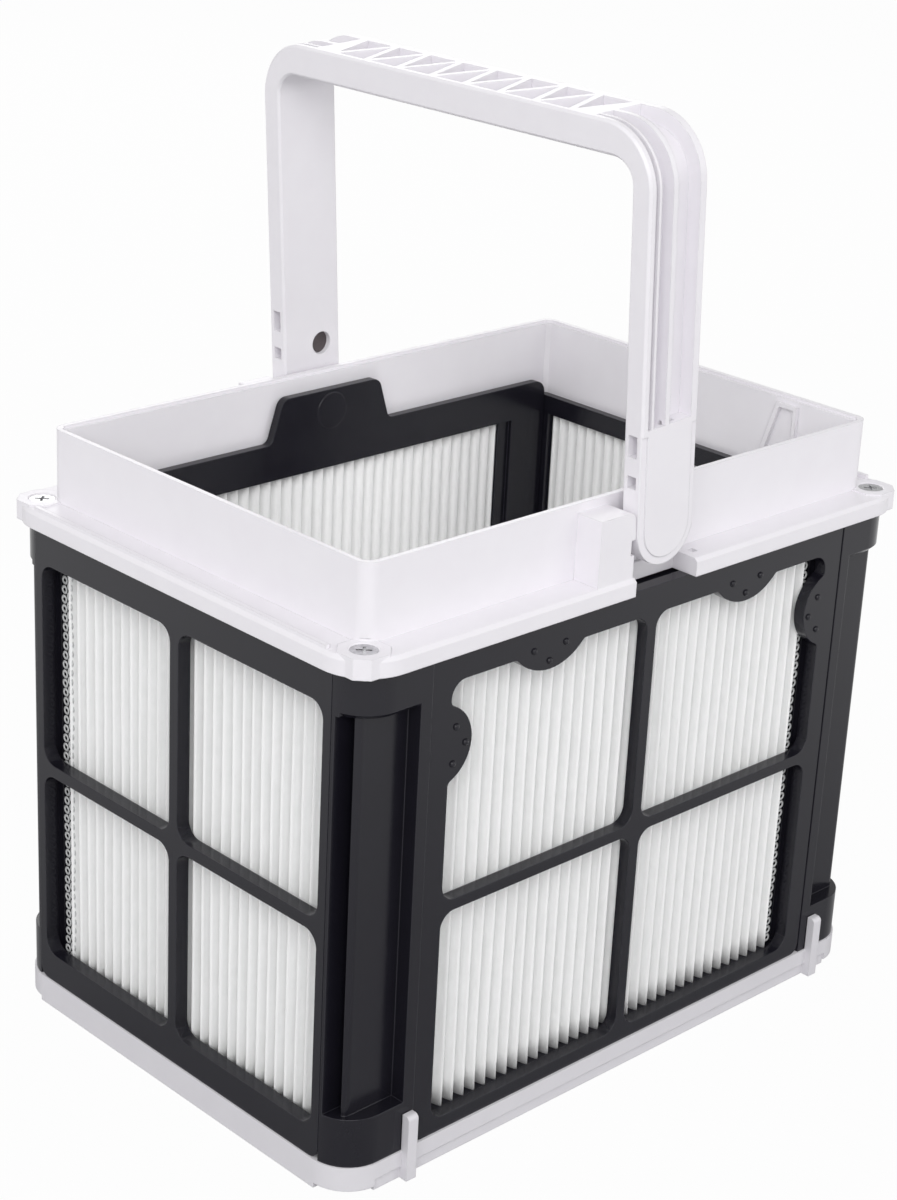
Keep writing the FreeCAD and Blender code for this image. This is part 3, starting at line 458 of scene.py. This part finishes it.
@dataclass(frozen=True)
class TurnedSteel:
    """Bright plated steel with fine turning marks round the piece's length and a painted highlight
    on its edges.
    """

    name: str = "plated_steel"
    bright: Colour = shade(236, 236, 237)
    dull: Colour = shade(150, 150, 153)
    mark_size: float = 0.22 * MM
    mark_detail: float = 3.0
    mark_stretch: Triple = (0.3, 0.3, 3.0)
    mark_depth: float = 0.01 * MM
    stain_size: float = 1.8 * MM
    stain_dulling: float = 0.16
    edge_radius: float = 0.12 * MM
    edge_highlight_share: float = 0.4
    roughness: float = 0.22

    def material(self) -> bpy.types.Material:
        """Build the node material.

        Returns:
            The material.
        """
        made, shader = new_material(self.name)
        marks = shader.noise(self.mark_size, self.mark_detail, self.mark_stretch)
        stain = shader.noise(self.stain_size)
        soft, edge = shader.edge(self.edge_radius)
        # Painted highlight: edges lean towards the bright colour.
        tone = shader.blend((stain - edge * self.edge_highlight_share).clamped(), self.bright, self.dull)
        rough = self.roughness + stain * self.stain_dulling
        normal = shader.bump(marks, self.mark_depth, soft)
        shader.finish(shader.surface(Base_Color=tone, Metallic=1.0, Roughness=rough,
                                     Normal=normal))
        return made


# The edge colours below are painted highlights along each part's edges.
WHITE = MouldedPlastic("white_plastic", body=shade(243, 241, 245), cloud=shade(239, 236, 241),
                       edge_highlight=shade(248, 247, 250), roughness=0.34, flow_depth=0.05 * MM,
                       edge_highlight_share=0.35)
# Painted shade: the tray and inlet housings get a greyer white for the shade low down under the
# collar's overhang.
TRAY_WHITE_PAINTED_SHADE = MouldedPlastic("tray_plastic_painted_shade", body=shade(229, 227, 231), cloud=shade(223, 221, 226),
                            edge_highlight=shade(242, 241, 244), roughness=0.40, flow_depth=0.05 * MM)
BLACK = MouldedPlastic("black_plastic", body=shade(24, 23, 30), cloud=shade(28, 27, 35),
                       edge_highlight=shade(74, 73, 80), roughness=0.20, flow_depth=0.04 * MM,
                       edge_radius=0.5 * MM, gloss=0.38)
# Painted shade: the dark recess floors in the handle's legs stand in for the shade inside the
# recesses.
SOCKET_PAINTED_SHADE = MouldedPlastic("socket_floor_painted_shade", body=shade(74, 66, 68), cloud=shade(92, 84, 86),
                        edge_highlight=shade(128, 122, 124), roughness=0.35, flow_depth=0.02 * MM)
RUBBER = MouldedPlastic("flap_rubber", body=shade(46, 46, 48), cloud=shade(56, 56, 58),
                        edge_highlight=shade(74, 74, 76), roughness=0.62, flow_depth=0.02 * MM,
                        grain_depth=0.03 * MM, gloss=0.35)


def quad_faces(rows: int, columns: int, wrap_rows: bool = False,
               wrap_columns: bool = False) -> np.ndarray:
    """Corner numbers of the quads between neighbouring points of a grid.

    Each quad goes from a point to the next in its row, up to the next row, and back.

    Args:
        rows: Number of rows.
        columns: Number of points in a row.
        wrap_rows: True if the last row joins the first.
        wrap_columns: True if the last point of a row joins the first.

    Returns:
        An array of four corner numbers for each quad.
    """
    row, column = np.meshgrid(np.arange(rows - (not wrap_rows)),
                              np.arange(columns - (not wrap_columns)), indexing="ij")
    above, beside = (row + 1) % rows, (column + 1) % columns
    corners = [row * columns + column, row * columns + beside,
               above * columns + beside, above * columns + column]
    return np.stack(corners, axis=-1).reshape(-1, 4)


def full_turn(steps: int) -> np.ndarray:
    """Angles that divide one turn into even steps."""
    return np.arange(steps) * 2 * math.pi / steps


def repeated(points: np.ndarray, faces: np.ndarray,
             offsets: np.ndarray) -> tuple[np.ndarray, np.ndarray]:
    """Copies of one small mesh, each moved by an offset.

    Args:
        points: Points of the small mesh.
        faces: Its faces.
        offsets: One offset for each copy.

    Returns:
        The points and faces of all copies.
    """
    moved = (points[None] + offsets[:, None]).reshape(-1, 3)
    step = (np.arange(len(offsets)) * len(points))[:, None, None]
    return moved, (faces[None] + step).reshape(-1, faces.shape[1])


def link(thing: bpy.types.Object) -> None:
    """Put an object in the scene."""
    bpy.context.scene.collection.objects.link(thing)


def add_piece(name: str, points: np.ndarray, faces: np.ndarray) -> bpy.types.Object:
    """Smooth mesh object at the origin, its doubled points merged.

    Args:
        name: Name of the piece.
        points: Its points, in metres.
        faces: Its faces.

    Returns:
        The new object.
    """
    mesh = bpy.data.meshes.new(name)
    mesh.from_pydata(points.reshape(-1, 3).tolist(), [], faces.tolist())
    work = bmesh.new()
    work.from_mesh(mesh)
    bmesh.ops.remove_doubles(work, verts=work.verts, dist=MERGE_DISTANCE)
    work.to_mesh(mesh)
    work.free()
    mesh.polygons.foreach_set("use_smooth", np.ones(len(mesh.polygons), dtype=bool))
    mesh.update()
    piece = bpy.data.objects.new(name, mesh)
    link(piece)
    return piece


def hand_over(piece: bpy.types.Object, body: str, material: bpy.types.Material) -> None:
    """Give a piece its finish and the body it moves with.

    Args:
        piece: The piece.
        body: Name of the body.
        material: Its material.
    """
    piece.data.materials.append(material)
    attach(piece, body)
    log.info("%s: %d points on %s", piece.name, len(piece.data.vertices), body)


@dataclass
class FilterPack:
    """The folded sheet of one cartridge and the net that shows at its two ends."""

    side: Side
    depth: float = 8.0 * MM
    long_pitch: float = 4.8 * MM
    short_pitch: float = 4.65 * MM
    long_folds: int = 35
    short_folds: int = 28
    long_shift: float = -0.35 * MM
    short_shift: float = 1.0 * MM
    tip_softness: float = 0.30
    crest_gap: float = 0.05 * MM
    sheet: float = 1.0 * MM
    steps_in_fold: int = 12
    rows: int = 22
    sway: float = 0.28 * MM
    sway_waves: tuple[tuple[float, ...], ...] = ((0.5, 4.4, 0.9, 0.0), (0.3, 10.2, 0.37, 1.3),
                                                 (0.35, 2.6, -1.7, 0.4))
    net_pitch: float = 3.3 * MM
    net_ring: float = 1.12 * MM
    net_web: float = 0.52 * MM
    net_thickness: float = 0.22 * MM
    net_set_back: float = 0.7 * MM
    net_slack: float = 0.2 * MM
    net_wave: float = 4.1 * MM
    ring_steps: int = 10
    web_steps: int = 4

    def __post_init__(self) -> None:
        """Read the pack's room from the frame."""
        self.node = f"{'long' if self.side.is_long else 'short'}_pleats_{self.side.label}"
        self.body = f"long_cartridge_{self.side.label}" if self.side.is_long else "root"
        low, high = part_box(self.node)
        across, out = (0, 1) if self.side.is_long else (1, 0)
        self.half_room = high[across]
        self.face = max(abs(low[out]), abs(high[out]))
        self.bottom, self.top = low[2], high[2]
        self.folds = self.long_folds if self.side.is_long else self.short_folds
        self.pitch = self.long_pitch if self.side.is_long else self.short_pitch
        self.shift = self.long_shift if self.side.is_long else self.short_shift
        self.half = self.folds * self.pitch / 2

    def fold_profile(self, phase: np.ndarray) -> np.ndarray:
        """How far the sheet lies behind the folds' crests.

        With t running from -1 to 1 across one fold, the depth is the square root of t squared
        plus a softness squared, which is a straight flank with a rounded crest at t = 0.

        Args:
            phase: Place along the pack, counted in folds.

        Returns:
            Share of the fold's depth, from 0 at a crest to 1 in a valley.
        """
        t = 2.0 * (phase - np.floor(phase)) - 1.0
        soft = self.tip_softness
        return (np.sqrt(t * t + soft * soft) - soft) / (math.sqrt(1.0 + soft * soft) - soft)

    def swaying(self, phase: np.ndarray, level: np.ndarray) -> np.ndarray:
        """Slight sideways lean of the folds.

        The lean is a sum of slow sine waves. Each has its share, its angle over the height of
        the pack, its angle over one fold and its starting angle. The lean fades out at the lower
        and upper edges, and over the first and last fold.

        Args:
            phase: Place along the pack, counted in folds.
            level: Place up the pack, from 0 to 1.

        Returns:
            The lean, in metres.
        """
        lean = sum(share * np.sin(rise * level + run * phase + start)
                   for share, rise, run, start in self.sway_waves)
        held = np.sin(np.pi * level) ** 0.5
        inside = np.minimum(1.0, np.minimum(phase, self.folds - phase))
        return self.sway * lean * held * inside

    def sheet_piece(self) -> bpy.types.Object:
        """The folded sheet, a grid of height against place along the pack.

        Returns:
            The new piece, with its fold value as an attribute.
        """
        columns = self.folds * self.steps_in_fold + 1
        phase, level = np.meshgrid(np.linspace(0.0, self.folds, columns),
                                   np.linspace(0.0, 1.0, self.rows))
        along = self.shift - self.half + phase * self.pitch + self.swaying(phase, level)
        share = self.fold_profile(phase)
        outward = self.face - self.crest_gap - share * self.depth
        height = self.bottom + (self.top - self.bottom) * level
        points = self.side.place(along, outward, height)
        piece = add_piece(f"pleat_sheet_{self.side.label}", points, quad_faces(*phase.shape))
        fold = piece.data.attributes.new(FOLD, "FLOAT", "POINT")
        fold.data.foreach_set("value", (1.0 - share).ravel().astype(np.float32))
        thick = piece.modifiers.new("sheet", "SOLIDIFY")
        thick.thickness = self.sheet
        thick.offset = -1.0
        return piece

    def ring(self) -> np.ndarray:
        """One ring of the net about the origin.

        A ring is a circle of small upright ellipses, wide in the net's plane and thin across it.

        Returns:
            The points of the ring, as rows.
        """
        bend, turn = np.meshgrid(full_turn(self.web_steps), full_turn(self.ring_steps))
        reach = self.net_ring + self.net_web * np.cos(bend)
        thickness = self.net_thickness * np.sin(bend)
        return self.side.place(reach * np.cos(turn), thickness, reach * np.sin(turn)).reshape(-1, 3)

    def ring_places(self) -> np.ndarray:
        """Middles of the rings, a honeycomb beyond the last crest at either end.

        The columns stand half the square root of 3 of a pitch apart, every second one is half a
        pitch higher, and the net waves in and out a little with the height.

        Returns:
            Rows of X, Y and Z.
        """
        edge = self.half_room - self.net_ring - self.net_web
        levels = np.arange(self.bottom + self.net_pitch, self.top - self.net_pitch, self.net_pitch)
        ends = []
        for sign in (-1, 1):
            last_crest = self.half - self.pitch / 2 + sign * self.shift
            columns = np.arange(edge, last_crest, -self.net_pitch * math.sqrt(3) / 2)
            place, level = np.meshgrid(columns, levels)
            level = level + (np.arange(len(columns)) % 2) * self.net_pitch / 2
            slack = self.net_slack * (1 + np.sin(level / self.net_wave))
            outward = self.face - self.net_set_back - slack
            ends.append(self.side.place(sign * place, outward, level).reshape(-1, 3))
        return np.concatenate(ends)

    def net_piece(self) -> bpy.types.Object:
        """The support net that shows beyond the last folds, a lace of flat rings.

        Returns:
            The new piece.
        """
        faces = quad_faces(self.ring_steps, self.web_steps, wrap_rows=True, wrap_columns=True)
        points, faces = repeated(self.ring(), faces, self.ring_places())
        return add_piece(f"support_net_{self.side.label}", points, faces)

    def build(self, media: bpy.types.Material, net: bpy.types.Material) -> None:
        """Make both pieces in place of the plain solid.

        Args:
            media: Material of the sheet.
            net: Material of the net.
        """
        sheet = self.sheet_piece()
        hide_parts(self.node)
        hand_over(sheet, self.body, media)
        hand_over(self.net_piece(), self.body, net)


@dataclass
class GripDots:
    """Three small raised dots on each finger grip of a long window frame."""

    side: Side
    radius: float = 1.15 * MM
    rise: float = 0.9 * MM
    root_angle: float = -0.25
    rings: int = 6
    steps: int = 12
    top_grip_place: float = 45.5 * MM
    head_drop: float = 9.5 * MM
    window_half: float = 86.4 * MM
    side_grip_height: float = 144.5 * MM
    top_pattern: tuple[tuple[float, ...], ...] = ((-7.3, 1.0), (-0.4, -3.7), (6.4, 0.8))
    side_pattern: tuple[tuple[float, ...], ...] = ((-2.4, 5.2), (-6.5, -0.9), (-1.6, -6.6))

    def spots(self, top: float) -> np.ndarray:
        """Places of all dots of one frame.

        Args:
            top: Height of the frame's upper edge.

        Returns:
            Rows of distance along the side and height.
        """
        upper = np.array(self.top_pattern) * MM + (0.0, top - self.head_drop)
        over = [upper + (sign * self.top_grip_place, 0.0) for sign in (-1, 1)]
        edge = np.array(self.side_pattern) * MM
        beside = [edge * (sign, 1.0) + (sign * self.window_half, self.side_grip_height)
                  for sign in (-1, 1)]
        return np.concatenate(over + beside)

    def dome(self) -> np.ndarray:
        """One dome about the origin: a circle whose radius falls as the rise grows.

        The lowest ring lies a little behind the face that carries the dome.

        Returns:
            The points of the dome, as rows.
        """
        turn, angle = np.meshgrid(full_turn(self.steps),
                                  np.linspace(self.root_angle, math.pi / 2, self.rings))
        reach = self.radius * np.cos(angle)
        rise = self.rise * np.sin(angle)
        return self.side.place(reach * np.cos(turn), rise, reach * np.sin(turn)).reshape(-1, 3)

    def build(self, material: bpy.types.Material) -> None:
        """Make the dots of one frame.

        Args:
            material: Material of the frame.
        """
        node = f"long_window_frame_{self.side.label}"
        low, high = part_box(node)
        face = max(abs(low[1]), abs(high[1]))
        along, height = self.spots(high[2]).T
        faces = quad_faces(self.rings, self.steps, wrap_columns=True)
        points, faces = repeated(self.dome(), faces, self.side.place(along, face, height))
        piece = add_piece(f"grip_dots_{self.side.label}", points, faces)
        hand_over(piece, "root", material)


@dataclass
class FootSockets:
    """The floor of the round recess in the inner face of each handle leg, dark with painted shade.
    """

    radius: float = 3.9 * MM
    shift: float = 4.0 * MM
    height: float = 212.0 * MM
    leg_thickness: float = 7.7 * MM
    depth: float = 2.1 * MM
    dish: float = 0.35 * MM
    rings: int = 5
    steps: int = 24

    def build(self, material: bpy.types.Material) -> None:
        """Make both floors as shallow dishes, which rise with the radius squared.

        Args:
            material: Material of the floor.
        """
        turn, reach = np.meshgrid(full_turn(self.steps), np.linspace(0.0, self.radius, self.rings))
        inner_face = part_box("handle")[1][1] - self.leg_thickness
        outward = inner_face + self.depth - self.dish * (reach / self.radius) ** 2
        faces = quad_faces(self.rings, self.steps, wrap_columns=True)
        for side in (Side.FRONT, Side.BACK):
            points = side.place(reach * np.cos(turn), outward, self.height + reach * np.sin(turn))
            points[..., 0] += self.shift
            # Each dish is a dark disc of painted shade at the floor of a recess.
            piece = add_piece(f"foot_socket_{side.label}", points, faces)
            hand_over(piece, "handle", material)


@dataclass
class CarriedNodes:
    """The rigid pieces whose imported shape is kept, with the finish of each."""

    slots: tuple[str, ...] = ("white_plastic", "black_plastic", "steel", "flap_rubber")
    # White nodes painted greyer, as shade under the collar's overhang.
    greyer: tuple[str, ...] = ("base_tray", "inlet_housing_left", "inlet_housing_right")

    def dress(self, finishes: dict[str, bpy.types.Material], tray: bpy.types.Material) -> None:
        """Put the material of its record slot on every node that shows.

        Args:
            finishes: Material for each slot name.
            tray: Material of the white nodes below, painted a little greyer as shade under the
                collar.

        Raises:
            ValueError: A node that shows has none of the known slots.
        """
        for name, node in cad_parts.items():
            if node.hide_render:
                continue
            old = node.material_slots[0].material.name if node.material_slots else ""
            slot = next((key for key in self.slots if key in old), "")
            if not slot:
                raise ValueError(f"{name} has no known slot: {old}")
            for holder in node.material_slots:
                holder.material = tray if name in self.greyer else finishes[slot]
            log.info("%s: %s", name, slot)


@dataclass(frozen=True)
class Lamp:
    """Square soft lamp that points at the middle of the canister, in metres and watts."""

    name: str
    place: Triple
    size: float
    power: float

    def hang(self) -> None:
        """Put the lamp in the scene."""
        data = bpy.data.lights.new(self.name, "AREA")
        data.size = self.size
        data.energy = self.power
        lamp = bpy.data.objects.new(self.name, data)
        lamp.location = self.place
        away = Vector(self.place) - Vector(MIDDLE)
        lamp.rotation_euler = away.to_track_quat("Z", "Y").to_euler()
        link(lamp)


@dataclass
class Studio:
    """Pale floor, soft lamps and the camera that takes the photograph's place."""

    eye: Triple = (-560.2 * MM, -561.1 * MM, 460.5 * MM)
    azimuth: float = -44.61
    elevation: float = 21.91
    roll: float = 2.87
    lens: float = 76.02
    sensor: float = 36.0
    lamps: tuple[Lamp, ...] = (Lamp("key", (-1.3, -1.3, 1.35), 1.6, 24.0),
                               Lamp("fill", (0.9, -1.7, 0.8), 1.2, 6.5),
                               Lamp("side", (-1.7, 0.6, 0.8), 1.2, 4.0),
                               Lamp("rim", (1.0, 1.5, 1.0), 1.2, 8.0))
    well_power: float = 0.062
    well_radius: float = 0.03
    sky: float = 0.52
    # Reach of the painted shadow round the canister's foot in reflections, and the width it fades
    # over.
    painted_shadow_reach: float = 0.14
    light_reach: float = 0.42
    floor_half: float = 4.0
    floor_paint: Colour = shade(190, 190, 192)
    floor_roughness: float = 0.9
    floor_whitening: float = 0.97

    def camera(self) -> None:
        """Camera by its turn round the canister, its height angle and a small roll."""
        turn, lift, roll = (math.radians(angle)
                            for angle in (self.azimuth, self.elevation, self.roll))
        back = Vector((math.sin(turn) * math.cos(lift), -math.cos(turn) * math.cos(lift),
                       math.sin(lift)))
        level = Vector((0, 0, 1)).cross(back).normalized()
        right = level * math.cos(roll) + back.cross(level) * math.sin(roll)
        up = back.cross(right)
        data = bpy.data.cameras.new("photo_camera")
        data.sensor_width = self.sensor
        data.lens = self.lens
        camera = bpy.data.objects.new("photo_camera", data)
        turned = Matrix((right, up, back)).transposed().to_4x4()
        camera.matrix_world = Matrix.Translation(self.eye) @ turned
        link(camera)
        bpy.context.scene.camera = camera

    def well_lamp(self) -> None:
        """Faint unseen lamp in the well, for the daylight that the thin folds let through."""
        data = bpy.data.lights.new("well", "POINT")
        data.energy = self.well_power
        data.shadow_soft_size = self.well_radius
        lamp = bpy.data.objects.new("well", data)
        lamp.location = MIDDLE
        lamp.visible_camera = False
        lamp.visible_glossy = False
        link(lamp)

    def seen_directly(self, shader: Shader) -> Expr:
        """How far a ray takes the floor as plain white.

        It is 1 for rays from the camera or through glass. Off a mirror it grows with the distance
        from the canister, a painted shadow round its foot that keeps glossy black dark there.

        Args:
            shader: The floor's shader.

        Returns:
            The share of white, from 0 to 1.
        """
        camera, glossy, clear = (shader.light_path(ray) for ray in
                                 ("Is Camera Ray", "Is Glossy Ray", "Is Transmission Ray"))
        length = {"operation": "LENGTH"}
        reach = shader.node("ShaderNodeVectorMath", length, {0: shader.position()}, "Value")
        # Painted shadow: off a mirror the floor is darker close to the canister.
        away = reach.ramp(self.painted_shadow_reach, 1.0 / self.light_reach)
        return (camera + glossy * away + clear).clamped()

    def world(self) -> None:
        """Even white sky, at full white where it is seen directly."""
        world = bpy.data.worlds.new("studio_sky")
        world.use_nodes = True
        bpy.context.scene.world = world
        shader = Shader(world.node_tree)
        light, seen = (shader.node("ShaderNodeBackground", {},
                                   {"Color": PURE_WHITE, "Strength": strength})
                       for strength in (self.sky, 1.0))
        both = shader.mixed(shader.light_path("Is Camera Ray"), light, seen)
        shader.finish(both, "ShaderNodeOutputWorld")

    def floor(self) -> None:
        """White floor that keeps a faint shadow."""
        material, shader = new_material("studio_floor")
        paint = shader.surface(Base_Color=self.floor_paint, Roughness=self.floor_roughness)
        glow = shader.node("ShaderNodeEmission", {}, {"Color": PURE_WHITE, "Strength": 1.0})
        whitening = self.seen_directly(shader) * self.floor_whitening
        shader.finish(shader.mixed(whitening, paint, glow))
        line = np.linspace(-self.floor_half, self.floor_half, 3)
        x, y = np.meshgrid(line, line)
        points = np.stack([x, y, np.zeros_like(x)], axis=-1)
        floor = add_piece("studio_floor", points, quad_faces(*x.shape))
        floor.data.materials.append(material)

    def build(self) -> None:
        """Set up everything, with the plain view transform."""
        bpy.context.scene.view_settings.view_transform = "Standard"
        self.camera()
        self.world()
        self.floor()
        for lamp in self.lamps:
            lamp.hang()
        self.well_lamp()


def main() -> None:
    """Build the fine pieces, dress the frame and set up the studio."""
    logging.basicConfig(level=logging.INFO, format="%(name)s: %(message)s")
    black = BLACK.material()
    media, net = FoldedMedia().material(), NetPlastic().material()
    for side in Side:
        FilterPack(side).build(media, net)
    for side in (Side.FRONT, Side.BACK):
        GripDots(side).build(black)
    FootSockets().build(SOCKET_PAINTED_SHADE.material())
    finishes = {"white_plastic": WHITE.material(), "black_plastic": black,
                "steel": TurnedSteel().material(), "flap_rubber": RUBBER.material()}
    CarriedNodes().dress(finishes, TRAY_WHITE_PAINTED_SHADE.material())
    Studio().build()


if __name__ == "__main__":
    main()
